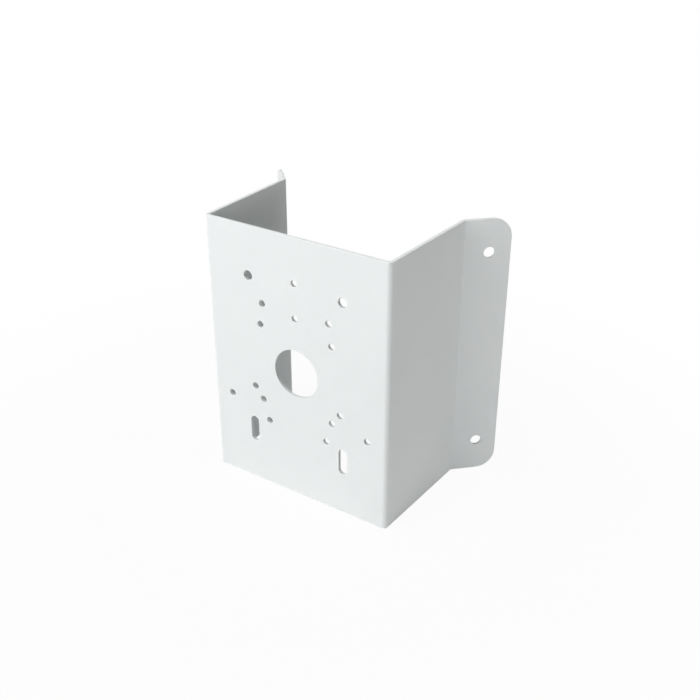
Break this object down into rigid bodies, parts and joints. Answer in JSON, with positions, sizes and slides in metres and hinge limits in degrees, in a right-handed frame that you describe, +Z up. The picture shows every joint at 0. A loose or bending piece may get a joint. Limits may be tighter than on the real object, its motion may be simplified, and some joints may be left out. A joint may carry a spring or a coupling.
{
  "type": "camera corner mount bracket",
  "caption": "Folded sheet-steel bracket that carries a camera arm off a building's outside corner: flat front plate with cable hole and slots, side panels, angled ears for wall screws.",
  "frame": {"origin": "centre of the cable hole on the front plate's outer face", "axes": "-Y out of the front face towards the camera's arm, +Y back to the building's corner, +X to the right seen from the front, +Z up"},
  "size_m": [0.2, 0.1143, 0.2],
  "materials": {
    "powder_coat": "satin white powder coat with a fine orange-peel texture"
  },
  "bodies": {
    "root": {"bracket": "powder_coat"}
  },
  "joints": []
}
